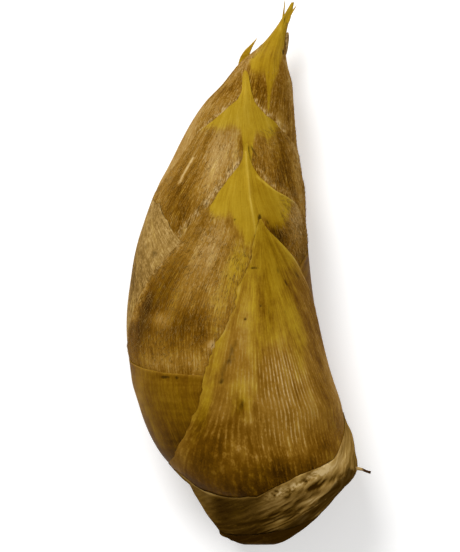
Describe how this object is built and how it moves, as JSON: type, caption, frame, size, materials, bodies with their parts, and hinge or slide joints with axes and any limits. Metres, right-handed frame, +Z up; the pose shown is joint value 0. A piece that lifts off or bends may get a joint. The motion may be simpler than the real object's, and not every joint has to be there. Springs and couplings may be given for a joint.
{
  "type": "bamboo shoot",
  "caption": "Fresh winter bamboo shoot lying on its back: a short stem wrapped in overlapping pointed culm sheaths, with torn sheath collars at the cut foot.",
  "frame": {"origin": "centre of the footprint on the table the shoot lies on", "axes": "+Y along the shoot from its cut foot to its tip, +X to its right seen from above with the tip ahead, +Z up from the table"},
  "size_m": [0.0866, 0.1955, 0.056],
  "materials": {
    "stem": "firm pale culm flesh, matt cut end",
    "collar_lower": "dry torn sheath remnant, matt brown",
    "collar_upper": "dry papery torn sheath remnant, pale rim",
    "sheath_1": "leathery ribbed culm sheath, satin, short brown hairs",
    "sheath_2": "leathery ribbed culm sheath, satin, short brown hairs",
    "sheath_3": "leathery ribbed culm sheath, satin, short brown hairs",
    "sheath_4": "leathery ribbed culm sheath, satin, short brown hairs",
    "sheath_5": "leathery ribbed culm sheath, satin, short brown hairs",
    "sheath_6": "leathery ribbed culm sheath, satin, short brown hairs",
    "sheath_7": "leathery ribbed culm sheath, satin, short brown hairs",
    "sheath_8": "leathery ribbed culm sheath, satin, short brown hairs",
    "sheath_9": "leathery ribbed culm sheath, satin, short brown hairs"
  },
  "bodies": {
    "root": {"stem": "stem", "collar_lower": "collar_lower", "collar_upper": "collar_upper", "sheath_1": "sheath_1", "sheath_2": "sheath_2", "sheath_3": "sheath_3", "sheath_4": "sheath_4", "sheath_5": "sheath_5", "sheath_6": "sheath_6", "sheath_7": "sheath_7", "sheath_8": "sheath_8", "sheath_9": "sheath_9"}
  },
  "joints": []
}
